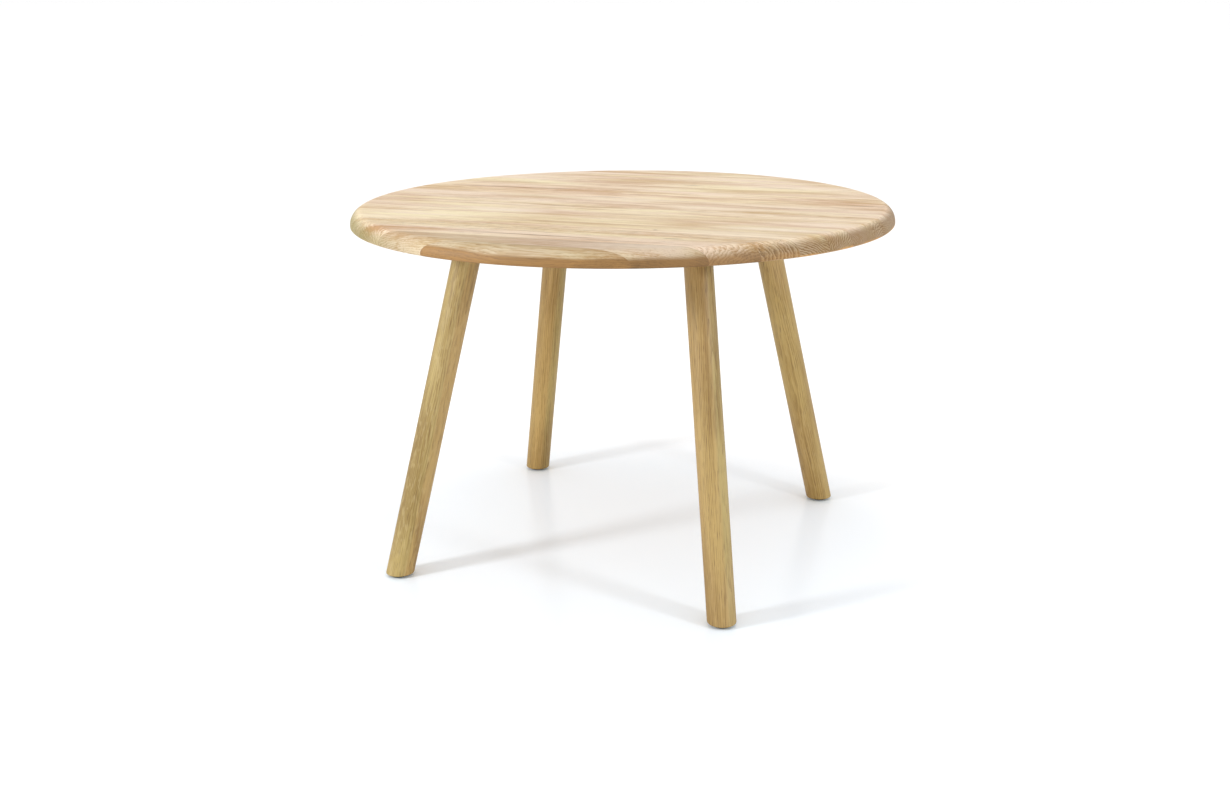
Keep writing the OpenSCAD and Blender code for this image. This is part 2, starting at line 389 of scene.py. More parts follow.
def add_piece(name, shape, material, slot, *nodes):
    """Makes a piece from a bmesh, smooth but for its sharp edges, that stands for its CAD nodes."""
    bmesh.ops.recalc_face_normals(shape, faces=shape.faces)
    for face in shape.faces:
        face.smooth = True
    for edge in shape.edges:
        edge.smooth = edge.is_manifold and edge.calc_face_angle() < SHARP_ANGLE
    mesh = bpy.data.meshes.new(name)
    shape.to_mesh(mesh)
    shape.free()
    piece = bpy.data.objects.new(name, mesh)
    bpy.context.scene.collection.objects.link(piece)
    mesh.materials.append(material)
    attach(piece, "root")
    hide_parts(*nodes)
    return piece


def finish_cad_nodes(material, *names):
    """Gives CAD nodes whose shape is right their material."""
    for name in names:
        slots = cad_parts[name].data.materials
        slots.clear()
        slots.append(material)


# Materials

def add_node(tree, kind, inputs=None, **settings):
    """Adds a node with its settings. An input is linked if it is given a socket, and set if not."""
    made = tree.nodes.new(kind)
    for name, value in settings.items():
        setattr(made, name, value)
    for name, value in (inputs or {}).items():
        if isinstance(value, bpy.types.NodeSocket):
            tree.links.new(value, made.inputs[name])
        else:
            made.inputs[name].default_value = value
    return made


# The colour sockets of a Mix node
MIX_SHARE, MIX_FROM, MIX_TO, MIX_RESULT = 0, 6, 7, 2


def empty_material(name):
    """A material with nothing but its output node."""
    material = bpy.data.materials.new(name)
    material.use_nodes = True
    tree = material.node_tree
    tree.nodes.clear()
    return material, tree, add_node(tree, "ShaderNodeOutputMaterial")


def blended(one, other, share):
    """The colour that lies share of the way from one to the other, with full alpha."""
    return (*(a + (b - a) * share for a, b in zip(one[:3], other[:3])), 1.0)


def streaks(tree, grain, length, width, detail=2.0):
    """Noise from 0 to 1 in streaks of that length and width in millimetres along the grain."""
    stretched = add_node(tree, "ShaderNodeMapping", {
        "Vector": grain,
        "Scale": (1 / length, 1 / width, 1 / width),
    })
    return add_node(tree, "ShaderNodeTexNoise", {
        "Vector": stretched.outputs[0],
        "Scale": 1.0,
        "Detail": detail,
        "Roughness": 0.55,
    }).outputs["Fac"]


# How a piece of oak was cut from the tree and how it looks. Lengths are in millimetres.
# pith: where the middle of the tree lies beside and above the piece.
# ring: distance from one growth ring to the next.
# taper: how much further out the rings lie per millimetre along the piece.
# contrast: how much its streaks differ.
# warmth: from 0 for yellowish to 1 for pinkish.
# pores, flecks, seam: strength of the pores, the ray flecks and the joint line at the back edge.
# ends: how much oil the left and the right end drank, from 0 to 1.
# heart: brown heartwood, as the bearing across the grain where it lies, its distance from the
# middle, how soft its border is, its strength, its brightness and the x where it starts. On the legs it
# is partly painted shade, darkening one side of a leg.
# marks: single dark lines on the upper face, each x, y, length, width and strength, or pale
# patches where the strength is negative. The wide pale patches at the front right are painted highlight.
# shade: a factor on all of its colours, 1 for most pieces. Below 1 on the two front staves it is painted
# shade on their rim, which lies in less light. At 1.05 on the back staves it is painted light, the brighter
# sheen of the far side of the top.
Timber = namedtuple(
    "Timber", "tone pith ring taper contrast warmth pores flecks seam ends heart marks shade",
    defaults=(4.2, 0.012, 1.0, 0.5, 1.0, 0.0, 0.35, (0.80, 0.84), (-90, 13.5, 2.5, 1.0, 1.0, -380), (),
              1.0))

ALL_ALONG = -5000

STAVE_TIMBER = (
    # Painted shade: the shade of 0.78 on this stave and 0.82 on the next darkens the front rim, which lies
    # in less light.
    Timber("#C6AA80", (12, -90), 4.4, contrast=0.9, warmth=0.35, pores=1.2,
           heart=(-90, -3, 3, 1.0, 0.60, ALL_ALONG),
           marks=((-48, -568, 40, 7, 0.7), (238, -571, 26, 9, 0.9)), shade=0.78),
    Timber("#D2B68E", (-60, -105), 4.2, contrast=1.0, warmth=0.6, ends=(0.90, 0.85),
           heart=(-90, -2, 5, 1.0, 0.44, 60), marks=((100, -480, 260, 7, 0.45),),
           shade=0.82),
    Timber("#D0B28A", (48, -70), 4.0, contrast=1.4, warmth=0.6, pores=1.4, ends=(0.95, 0.84),
           heart=(-90, 0, 6, 0.9, 0.54, 180),
           marks=((-20, -434, 400, 10, 0.95), (-170, -424, 170, 7, 0.7), (110, -450, 260, 8, 0.6))),
    Timber("#DBC29B", (-330, -12), 6.6, contrast=1.1, warmth=0.35, pores=2.4, flecks=0.5,
           ends=(0.85, 0.9), heart=(-90, 3, 7, 0.5, 0.8, 250),
           marks=((240, -397, 60, 7, 0.8), (-310, -380, 190, 8, 0.45))),
    # Painted highlight: the wide pale patches of this stave and the next brighten the front right of the
    # top.
    Timber("#E4CEAB", (-66, -98), 4.6, contrast=0.95, warmth=0.4, seam=0.7,
           marks=((179, -313, 14, 9, 1.0), (-60, -282, 620, 6, 0.40), (330, -300, 420, 70, -0.45))),
    Timber("#EAD6B4", (64, -80), 3.8, contrast=0.9, warmth=0.3,
           marks=((-390, -226, 160, 7, 0.55), (410, -240, 380, 60, -0.6))),
    Timber("#E5CEAC", (-110, -52), 4.0, contrast=0.9, warmth=0.75,
           marks=((-330, -172, 200, 7, 0.50), (110, -150, 260, 6, 0.35), (-209, -170, 300, 40, -0.4))),
    Timber("#EBD5B3", (40, -84), 4.4, contrast=1.0, warmth=0.45, seam=0.9,
           marks=((-124, -76, 70, 6, 0.95), (-300, -90, 420, 6, 0.40))),
    Timber("#E9D2AE", (-58, -110), 3.8, contrast=1.2, warmth=0.5,
           marks=((-330, -20, 380, 8, 0.45), (300, -12, 260, 6, 0.45))),
    Timber("#E6CCA9", (90, -70), 4.2, contrast=1.2, warmth=0.95,
           marks=((-200, 44, 340, 6, 0.40), (330, 24, 300, 7, 0.45))),
    # Painted light: the shade of 1.05 on this stave and those behind it pales the back of the top, for its
    # sheen.
    Timber("#E7CEA9", (-84, -64), 4.0, contrast=1.3, shade=1.05, warmth=0.75,
           marks=((-56, 74, 110, 7, 0.90), (500, 100, 130, 9, 1.0), (330, 92, 240, 6, 0.45))),
    Timber("#E5CAA4", (-30, -86), 4.3, contrast=1.5, shade=1.05, warmth=0.9,
           marks=((-330, 160, 420, 10, 0.90), (-215, 169, 120, 7, 0.90), (-80, 186, 300, 6, 0.45))),
    Timber("#F3E1C2", (70, -110), 3.8, contrast=1.0, shade=1.05, warmth=0.35,
           marks=((-260, 252, 240, 6, 0.40),)),
    Timber("#EFDAB8", (-90, -60), 4.2, contrast=1.2, shade=1.05, warmth=0.5,
           marks=((61, 304, 70, 7, 0.95), (262, 317, 140, 8, 0.75), (-250, 300, 300, 6, 0.4))),
    Timber("#EED8B6", (60, -90), 4.0, contrast=1.1, shade=1.05, warmth=0.55,
           marks=((0, 372, 300, 6, 0.40),)),
    Timber("#E8CFAA", (-76, -70), 4.4, contrast=1.2, shade=1.05, warmth=0.7,
           marks=((-120, 436, 260, 6, 0.45),)),
    Timber("#E6CDA9", (74, -88), 4.0, contrast=1.2, shade=1.05, warmth=0.6,
           marks=((60, 500, 240, 6, 0.45),)),
    Timber("#E4CAA5", (-36, -104), 4.2, contrast=1.0, shade=1.05, warmth=0.5, seam=0.0),
)

# The legs are partly painted light and shade. Each leg's tone makes up for how much light falls on it, and
# its brown heartwood side darkens one side of it as shade would.
LEG_TIMBER = (
    Timber("#9E874C", (30, 80), 3.4, contrast=1.0, warmth=0.05, pores=1.8, flecks=0.8, seam=0.0,
           heart=(-62, 3, 2.0, 0.20, 1.0, ALL_ALONG)),
    Timber("#9A854F", (-70, -60), 3.2, contrast=1.0, warmth=0.1, pores=1.9, flecks=0.3, seam=0.0,
           heart=(150, 14, 5.0, 0.25, 1.0, ALL_ALONG)),
    Timber("#B49352", (80, -40), 3.4, contrast=0.95, warmth=0.1, pores=1.7, flecks=0.3, seam=0.0,
           heart=(40, 10, 3.0, 0.25, 1.0, ALL_ALONG)),
    Timber("#9C8645", (-46, 56), 3.8, taper=0.03, contrast=1.0, warmth=0.1, pores=1.8, flecks=0.2,
           seam=0.0, heart=(150, 4, 6.0, 0.30, 1.0, ALL_ALONG)),
)


def growth_rings(tree, grain, timber):
    """How porous the wood is, from 0 to 1, which each growth ring is at its inner side."""
    from_pith = add_node(tree, "ShaderNodeVectorMath", {
        0: grain,
        1: (0.0, *timber.pith),
    }, operation="SUBTRACT")
    across = add_node(tree, "ShaderNodeVectorMath", {
        0: from_pith.outputs[0],
        1: (0.0, 1.0, 1.0),
    }, operation="MULTIPLY")
    distance = add_node(tree, "ShaderNodeVectorMath", {0: across.outputs[0]}, operation="LENGTH")
    along = add_node(tree, "ShaderNodeSeparateXYZ", {0: grain})
    distance = add_node(tree, "ShaderNodeMath", {
        0: along.outputs[0],
        1: timber.taper,
        2: distance.outputs["Value"],
    }, operation="MULTIPLY_ADD")
    # Good and bad years make the rings uneven
    uneven = add_node(tree, "ShaderNodeMath", {
        0: streaks(tree, grain, 90.0, 12.0),
        1: 2.2 * timber.ring,
        2: distance.outputs[0],
    }, operation="MULTIPLY_ADD")
    rings = add_node(tree, "ShaderNodeMath", {0: uneven.outputs[0], 1: timber.ring}, operation="DIVIDE")
    year = add_node(tree, "ShaderNodeMath", {0: rings.outputs[0]}, operation="FRACT")
    return add_node(tree, "ShaderNodeMapRange", {
        "Value": year.outputs[0],
        "From Min": 0.15,
        "From Max": 0.85,
        "To Min": 1.0,
        "To Max": 0.0,
    }, interpolation_type="SMOOTHSTEP").outputs[0]


# Streaks of four widths, each with its length and width in millimetres and its weight
STREAKS = (
    (350.0, 75.0, 3.3),
    (600.0, 24.0, 0.9),
    (300.0, 9.0, 1.2),
    (150.0, 3.4, 1.1),
)
# The weighted streaks and rings add up to a total. The middle total gives the middle tone, and
# at a contrast of 1 the darkest and the palest tone lie this far below and above it.
MIDDLE_TOTAL = 3.38
TOTAL_REACH = 0.60

# What the steps that colour one piece of oak share.
# to_grain, straight: the matrix to places in millimetres along the piece, and those places.
# grain: the same places after the grain has wandered.
# along, middle: the place along the piece, and the one of its middle.
# fine: fine noise. porous: how porous the ring is. across: how far it is cut across the grain.
# tone, dark, pale: its general colour, and those that its streaks tend to.
Board = namedtuple(
    "Board", "tree to_grain straight grain along middle fine porous across tone dark pale timber looks")


def wandering(tree, straight):
    """Places along grain that wanders a few millimetres across over each 350 mm."""
    stretched = add_node(tree, "ShaderNodeMapping", {
        "Vector": straight,
        "Scale": (1 / 350, 1 / 70, 1 / 70),
    })
    wander = add_node(tree, "ShaderNodeTexNoise", {
        "Vector": stretched.outputs[0],
        "Scale": 1.0,
        "Detail": 1.0,
    })
    wander = add_node(tree, "ShaderNodeVectorMath", {
        0: wander.outputs["Color"],
        1: (0.5, 0.5, 0.5),
    }, operation="SUBTRACT")
    return add_node(tree, "ShaderNodeVectorMath", {
        0: wander.outputs[0],
        1: (0.0, 18.0, 14.0),
        2: straight,
    }, operation="MULTIPLY_ADD").outputs[0]


def cut_across(tree, to_grain):
    """How far the surface is cut across the grain, from 0 to 1."""
    facing = add_node(tree, "ShaderNodeNewGeometry").outputs["Normal"]
    lengthways = to_grain.to_3x3().inverted() @ Vector((1.0, 0.0, 0.0))
    endwise = add_node(tree, "ShaderNodeVectorMath", {
        0: facing,
        1: lengthways,
    }, operation="DOT_PRODUCT")
    endwise = add_node(tree, "ShaderNodeMath", {0: endwise.outputs["Value"]}, operation="ABSOLUTE")
    return add_node(tree, "ShaderNodeMapRange", {
        "Value": endwise.outputs[0],
        "From Min": 0.22,
        "From Max": 0.80,
    }, interpolation_type="SMOOTHSTEP").outputs[0]


def paleness_along(board):
    """How pale the streaks and the rings make the wood along each line of the grain, from 0 to 1."""
    total = board.fine
    for length, width, weight in STREAKS:
        total = add_node(board.tree, "ShaderNodeMath", {
            0: streaks(board.tree, board.grain, length, width),
            1: weight,
            2: total,
        }, operation="MULTIPLY_ADD").outputs[0]
    ring_weight = add_node(board.tree, "ShaderNodeMapRange", {
        "Value": board.across,
        "To Min": -0.42,
        "To Max": -0.16,
    })
    total = add_node(board.tree, "ShaderNodeMath", {
        0: board.porous,
        1: ring_weight.outputs[0],
        2: total,
    }, operation="MULTIPLY_ADD").outputs[0]
    return add_node(board.tree, "ShaderNodeMapRange", {
        "Value": total,
        "From Min": MIDDLE_TOTAL - TOTAL_REACH / board.timber.contrast,
        "From Max": MIDDLE_TOTAL + TOTAL_REACH / board.timber.contrast,
    }).outputs[0]


def streaked(board, paleness):
    """The colour of the wood with its streaks, of which some narrow ones stand out darker."""
    colour = add_node(board.tree, "ShaderNodeMix", {
        MIX_SHARE: paleness,
        MIX_FROM: blended(board.tone, board.dark, 0.66),
        MIX_TO: blended(board.tone, board.pale, 0.58),
    }, data_type="RGBA").outputs[MIX_RESULT]
    lines = add_node(board.tree, "ShaderNodeMapRange", {
        "Value": streaks(board.tree, board.grain, 380.0, 4.0, 1.0),
        "From Min": 0.63,
        "From Max": 0.72,
        "To Max": 0.36 * board.timber.contrast,
    }, interpolation_type="SMOOTHSTEP")
    return add_node(board.tree, "ShaderNodeMix", {
        MIX_SHARE: lines.outputs[0],
        MIX_FROM: colour,
        MIX_TO: blended(board.dark, board.looks.mark, 0.3),
    }, data_type="RGBA").outputs[MIX_RESULT]


def with_tints(board, colour):
    """The colour with slow changes between yellowish and pinkish wood, a hand's width across."""
    blotches = add_node(board.tree, "ShaderNodeMapRange", {
        "Value": streaks(board.tree, board.straight, 330.0, 60.0, 1.0),
        "From Min": 0.35,
        "From Max": 0.65,
        "To Min": board.timber.warmth - 0.5,
        "To Max": board.timber.warmth + 0.5,
    })
    tint = add_node(board.tree, "ShaderNodeMix", {
        MIX_SHARE: blotches.outputs[0],
        MIX_FROM: (1.0, 0.99, 0.84, 1.0),
        MIX_TO: (1.0, 0.95, 0.95, 1.0),
    }, data_type="RGBA")
    return add_node(board.tree, "ShaderNodeMix", {
        MIX_SHARE: 1.0,
        MIX_FROM: colour,
        MIX_TO: tint.outputs[MIX_RESULT],
    }, data_type="RGBA", blend_type="MULTIPLY").outputs[MIX_RESULT]


def ray_flecks(board):
    """Share and colour of the rays, short pale flecks where the wood is cut towards the pith."""
    flecks = add_node(board.tree, "ShaderNodeMapRange", {
        "Value": streaks(board.tree, board.grain, 22.0, 6.0, 1.0),
        "From Min": 0.52,
        "From Max": 0.66,
        "To Max": 0.5 * board.timber.flecks,
    }, interpolation_type="SMOOTHSTEP")
    return flecks.outputs[0], blended(board.tone, board.pale, 0.9)


def single_marks(board):
    """Share and colour of each single line on the upper face, a ragged oval that fades outwards."""
    shares = []
    for x, y, length, width, strength in board.timber.marks:
        # A negative strength gives a pale patch; at the front right these are painted highlight.
        mark = blended(board.dark, board.looks.mark, 0.75) if strength > 0 else (*board.pale, 1.0)
        centre = board.to_grain @ Vector((x, y, TOP_HEIGHT / MM))
        offset = add_node(board.tree, "ShaderNodeVectorMath", {
            0: board.straight,
            1: centre,
        }, operation="SUBTRACT")
        offset = add_node(board.tree, "ShaderNodeVectorMath", {
            0: offset.outputs[0],
            1: (2 / length, 2 / width, 0.1),
        }, operation="MULTIPLY")
        reach = add_node(board.tree, "ShaderNodeVectorMath", {0: offset.outputs[0]}, operation="LENGTH")
        ragged = add_node(board.tree, "ShaderNodeMath", {
            0: board.fine,
            1: 0.8,
            2: reach.outputs["Value"],
        }, operation="MULTIPLY_ADD")
        share = add_node(board.tree, "ShaderNodeMapRange", {
            "Value": ragged.outputs[0],
            "From Min": 0.55,
            "From Max": 1.45,
            "To Min": abs(strength),
            "To Max": 0.0,
        }, interpolation_type="SMOOTHSTEP")
        shares.append((share.outputs[0], mark))
    return shares


def oiled_ends(board):
    """Share and colour of end grain, which drinks more oil, so it is darker and shows its rings."""
    # Millimetres on each side of the middle, over which one end's colour gives way to the other's
    blend = 60.0
    at_right = add_node(board.tree, "ShaderNodeMapRange", {
        "Value": board.along,
        "From Min": board.middle - blend,
        "From Max": board.middle + blend,
    }).outputs[0]
    drunk = add_node(board.tree, "ShaderNodeMapRange", {
        "Value": at_right,
        "To Min": board.timber.ends[0],
        "To Max": board.timber.ends[1],
    })
    drunk = add_node(board.tree, "ShaderNodeMath", {
        0: drunk.outputs[0],
        1: board.across,
    }, operation="MULTIPLY")
    ring_share = add_node(board.tree, "ShaderNodeMapRange", {
        "Value": board.porous,
        "To Min": 0.82,
        "To Max": 1.15,
    })
    end_share = add_node(board.tree, "ShaderNodeMath", {
        0: ring_share.outputs[0],
        1: drunk.outputs[0],
    }, operation="MULTIPLY", use_clamp=True)
    end_colour = add_node(board.tree, "ShaderNodeMix", {
        MIX_SHARE: at_right,
        MIX_FROM: (*board.looks.left_ends, 1.0),
        MIX_TO: (*board.looks.right_ends, 1.0),
    }, data_type="RGBA")
    return end_share.outputs[0], end_colour.outputs[MIX_RESULT]


def heartwood(board, paleness):
    """Share and colour of brown heartwood on one side of the piece, from one place along it on. On the legs
    it is partly painted shade.
    """
    bearing, reach, softness, strength, brightness, start = board.timber.heart
    turn = math.radians(bearing)
    depth = add_node(board.tree, "ShaderNodeVectorMath", {
        0: board.grain,
        1: (0.0, math.cos(turn), math.sin(turn)),
    }, operation="DOT_PRODUCT")
    inside = add_node(board.tree, "ShaderNodeMapRange", {
        "Value": depth.outputs["Value"],
        "From Min": reach - softness,
        "From Max": reach + softness,
        "To Max": strength,
    }, interpolation_type="SMOOTHSTEP")
    # Millimetres on each side of its start, over which the heartwood comes in
    blend = 40.0
    begun = add_node(board.tree, "ShaderNodeMapRange", {
        "Value": board.along,
        "From Min": board.middle + start - blend,
        "From Max": board.middle + start + blend,
    }, interpolation_type="SMOOTHSTEP")
    share = add_node(board.tree, "ShaderNodeMath", {
        0: inside.outputs[0],
        1: begun.outputs[0],
    }, operation="MULTIPLY")
    darker, paler = (
        (*(share * brightness * value for value in board.looks.heartwood), 1.0)
        for share in (0.78, 1.25))
    brown = add_node(board.tree, "ShaderNodeMix", {
        MIX_SHARE: paleness,
        MIX_FROM: darker,
        MIX_TO: paler,
    }, data_type="RGBA")
    return share.outputs[0], brown.outputs[MIX_RESULT]


def open_vessels(board):
    """Where the open vessels lie, from 0 to 1.

    Oak's vessels are 0.3 mm wide. They are drawn 1.1 mm wide, or the render would lose them.
    """
    vessels = add_node(board.tree, "ShaderNodeMapRange", {
        "Value": streaks(board.tree, board.grain, 24.0, 1.1, 0.0),
        "From Min": 0.56,
        "From Max": 0.68,
    })
    return add_node(board.tree, "ShaderNodeMath", {
        0: vessels.outputs[0],
        1: board.porous,
    }, operation="MULTIPLY").outputs[0]


def dark_pores(board, vessels):
    """Share and colour of the pores, which show more where the wood is cut across."""
    pore_share = add_node(board.tree, "ShaderNodeMapRange", {
        "Value": board.across,
        "To Min": 0.26 * board.timber.pores,
        "To Max": 0.40 * board.timber.pores,
    })
    pore_share = add_node(board.tree, "ShaderNodeMath", {
        0: pore_share.outputs[0],
        1: vessels,
    }, operation="MULTIPLY", use_clamp=True)
    return pore_share.outputs[0], (*board.looks.pores, 1.0)


def joint_line(board):
    """Share and colour of the joint to the next stave, a fine dark line at the back edge."""
    seam = add_node(board.tree, "ShaderNodeMapRange", {
        "Value": board.across,
        "To Min": 0.55 * board.timber.seam,
        "To Max": board.timber.seam,
    })
    back = add_node(board.tree, "ShaderNodeSeparateXYZ", {0: board.straight}).outputs[1]
    edge, width, blend = STAVE_WIDTH / MM / 2, 0.6, 1.6
    joint = add_node(board.tree, "ShaderNodeMapRange", {
        "Value": back,
        "From Min": edge - width - blend,
        "From Max": edge - width,
        "To Max": seam.outputs[0],
    }, interpolation_type="SMOOTHSTEP")
    return joint.outputs[0], (*board.looks.mark, 1.0)


def oak(name, timber, tone, dark, pale, to_grain, looks, film=0.0):
    """Oak that was planed, sanded and rubbed with hard-wax oil.

    The eye gets long soft streaks, growth rings that show as arcs and rows of pores where the
    wood is cut across, and a dull silky gleam. to_grain turns places in millimetres so that +X
    runs along the grain and the middle of the piece has Y and Z of 0.
    """
    material, tree, output = empty_material(name)
    # Painted shade and light: the shade factor darkens or pales the whole piece.
    tone, dark, pale = (
        tuple(timber.shade * value for value in colour[:3]) for colour in (tone, dark, pale))
    straight = add_node(tree, "ShaderNodeMapping", {
        "Vector": add_node(tree, "ShaderNodeTexCoord").outputs["Object"],
        "Location": to_grain.translation,
        "Rotation": to_grain.to_euler("XYZ"),
        "Scale": (1 / MM, 1 / MM, 1 / MM),
    }).outputs[0]
    grain = wandering(tree, straight)
    along = add_node(tree, "ShaderNodeSeparateXYZ", {0: straight}).outputs[0]
    middle = (to_grain @ Vector((0.0, 0.0, 0.0))).x
    fine = streaks(tree, grain, 60.0, 1.2, 3.0)
    porous = growth_rings(tree, grain, timber)
    across = cut_across(tree, to_grain)
    board = Board(
        tree, to_grain, straight, grain, along, middle, fine, porous, across, tone, dark, pale,
        timber, looks)

    paleness, vessels = paleness_along(board), open_vessels(board)
    colour = with_tints(board, streaked(board, paleness))
    # What shows in the wood, each over the one before it
    layers = [ray_flecks(board)] if timber.flecks else []
    layers += single_marks(board)
    layers += [oiled_ends(board), heartwood(board, paleness), dark_pores(board, vessels)]
    layers += [joint_line(board)] if timber.seam else []
    for share, shade in layers:
        colour = add_node(tree, "ShaderNodeMix", {
            MIX_SHARE: share,
            MIX_FROM: colour,
            MIX_TO: shade,
        }, data_type="RGBA").outputs[MIX_RESULT]

    relief = add_node(tree, "ShaderNodeMath", {
        0: vessels,
        1: -1.0,
        2: fine,
    }, operation="MULTIPLY_ADD")
    bump = add_node(tree, "ShaderNodeBump", {
        "Height": relief.outputs[0],
        "Strength": 0.4,
        "Distance": looks.pore_depth,
    })
    roughness = add_node(tree, "ShaderNodeMapRange", {
        "Value": fine,
        "To Min": looks.roughness - 0.07,
        "To Max": looks.roughness + 0.07,
    })
    surface = add_node(tree, "ShaderNodeBsdfPrincipled", {
        "Base Color": colour,
        "Roughness": roughness.outputs[0],
        "IOR": 1.50,
        "Normal": bump.outputs[0],
        "Coat Weight": film,
        "Coat Roughness": 0.42,
    })
    tree.links.new(surface.outputs[0], output.inputs["Surface"])
    return material


def oak_of_stave(number, low, high, looks):
    """The oak of one stave, each from another place along the tree."""
    timber = STAVE_TIMBER[(number - 1) % len(STAVE_TIMBER)]
    # A stave at the rim is narrower, but its inner edge is where it would be on a full one
    centre = (low + high) / 2
    if high - low < STAVE_WIDTH - MM:
        centre = high - STAVE_WIDTH / 2 if centre < 0 else low + STAVE_WIDTH / 2
    middle = Vector((0.0, centre, (TOP_HEIGHT + UNDERSIDE) / 2)) / MM
    to_grain = Matrix.Translation(Vector((number * STAVE_STEP, 0.0, 0.0)) - middle)
    return oak(
        f"oiled_oak_stave_{number:02d}", timber, linear(timber.tone), looks.dark_streak,
        looks.pale_streak, to_grain, looks)


def oak_of_leg(place, start, direction, looks):
    """The oak of one turned leg, with its grain along the leg."""
    number = PLACES.index(place)
    timber = LEG_TIMBER[number]
    turn = (-direction).rotation_difference(Vector((1.0, 0.0, 0.0))).to_matrix().to_4x4()
    to_grain = Matrix.Translation((LEG_STEP * (number + 1), 0.0, 0.0)) @ turn
    to_grain = to_grain @ Matrix.Translation(-start / MM)
    return oak(
        f"oiled_oak_leg_{place}", timber, linear(timber.tone), looks.leg_dark_streak,
        looks.leg_pale_streak, to_grain, looks, looks.leg_film)


def speckled(name, colour, grain, height, variation, inputs):
    """A material of one colour with a fine grain.

    grain and height are the size and the height of its bumps in millimetres, and variation is
    how much darker and paler it gets.
    """
    material, tree, output = empty_material(name)
    place = add_node(tree, "ShaderNodeTexCoord").outputs["Object"]
    speckle = add_node(tree, "ShaderNodeTexNoise", {
        "Vector": place,
        "Scale": 1 / (grain * MM),
        "Detail": 2.0,
    })
    shade = add_node(tree, "ShaderNodeMix", {
        MIX_SHARE: speckle.outputs["Fac"],
        MIX_FROM: blended(colour, (0.0, 0.0, 0.0), variation),
        MIX_TO: blended(colour, (1.0, 1.0, 1.0), variation / 2),
    }, data_type="RGBA")
    bump = add_node(tree, "ShaderNodeBump", {
        "Height": speckle.outputs["Fac"],
        "Strength": 0.5,
        "Distance": height * MM,
    })
    surface = add_node(tree, "ShaderNodeBsdfPrincipled", {
        "Base Color": shade.outputs[MIX_RESULT],
        "Normal": bump.outputs[0],
        **inputs,
    })
    tree.links.new(surface.outputs[0], output.inputs["Surface"])
    return material


def powder_coated_steel(fittings):
    """Steel sprayed with polyester powder and baked: nearly black, with a fine orange-peel texture.

    The eye gets small soft glints. The peel's cells are about 0.8 mm across.
    """
    return speckled("powder_coated_steel", fittings.coat_colour, 0.8, 0.05, 0.10, {
        "Roughness": 0.48,
        "IOR": 1.50,
    })


def zinc_plated_steel(fittings):
    """Steel screws, cold-headed and barrel plated with bright zinc.

    The eye gets a bluish white metal with blurred reflections and small dull patches of 2 mm.
    """
    return speckled("zinc_plated_steel", fittings.zinc_colour, 2.0, 0.02, 0.14, {
        "Roughness": 0.30,
        "Metallic": 1.0,
    })


def moulded_nylon(fittings):
    """Nylon from a spark-eroded mould: very dark brown and matt, with a grain of about 0.5 mm."""
    return speckled("moulded_nylon", fittings.nylon_colour, 0.5, 0.03, 0.15, {
        "Roughness": 0.55,
        "IOR": 1.53,
    })


def pressed_wool_felt(fittings):
    """Wool felt, pressed and die cut: a soft grey-brown nap without gleam.

    Wool fibres are 0.03 mm thick. Their tangle is drawn 0.6 mm coarse, or it wouldn't show.
    """
    return speckled("pressed_wool_felt", fittings.felt_colour, 0.6, 0.3, 0.35, {
        "Roughness": 0.95,
        "IOR": 1.45,
        "Sheen Weight": 0.4,
        "Sheen Roughness": 0.6,
    })


# Places

def mount_point(place, legs):
    """Where the middle line of a leg meets the underside."""
    bearing = math.radians(PLACE_BEARINGS[PLACES.index(place)])
    return Vector((legs.mount_radius * math.cos(bearing), legs.mount_radius * math.sin(bearing), UNDERSIDE))


def leg_direction(place, legs):
    """Direction of a leg, down towards its foot."""
    index = PLACES.index(place)
    bearing = math.radians(PLACE_BEARINGS[index]) + legs.turns[index]
    lean = math.sin(legs.splay)
    return Vector((lean * math.cos(bearing), lean * math.sin(bearing), -math.cos(legs.splay)))


def foot_point(place, legs):
    """Where the middle line of a leg reaches the lower face of its foot."""
    direction = leg_direction(place, legs)
    return mount_point(place, legs) + direction * ((UNDERSIDE - FOOT_HEIGHT) / -direction.z)


def plate_screw_places(legs, fittings, place):
    """Matrices to the screws of one leg plate."""
    centre = mount_point(place, legs)
    places = []
    for number in range(fittings.plate_screws):
        angle = 2 * math.pi * number / fittings.plate_screws
        reach = fittings.screw_circle
        step = Vector((reach * math.cos(angle), reach * math.sin(angle), 0.0))
        places.append(Matrix.Translation(centre + step))
    return places


def channel_screw_places(fittings, channel):
    """Matrices to the screws of one channel, one in the middle of every other stave."""
    low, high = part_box(f"stiffening_channel_{channel}")
    middle = (low.x + high.x) / 2
    places = []
    for number in range(len(STAVES) // 4 + 1):
        y = (2 * number + 0.5) * STAVE_WIDTH
        if y + fittings.slot_length < high.y:
            places.append(Matrix.Translation((middle, y, UNDERSIDE)))
            places.append(Matrix.Translation((middle, -y, UNDERSIDE)))
    return places


# Pieces

def whole_top(settings):
    """The whole round top before it is split into staves."""
    edge, chamfer = settings.edge_radius, settings.lower_chamfer
    outline = [(TOP_RADIUS - edge - FLAT_RING, TOP_HEIGHT)]
    outline += arc((TOP_RADIUS - edge, TOP_HEIGHT - edge), edge, 90, 0, settings.edge_steps)
    outline += [
        (TOP_RADIUS, UNDERSIDE + chamfer),
        (TOP_RADIUS - chamfer, UNDERSIDE),
        (TOP_RADIUS - chamfer - FLAT_RING, UNDERSIDE),
    ]
    return turned(outline, settings.rim_steps)


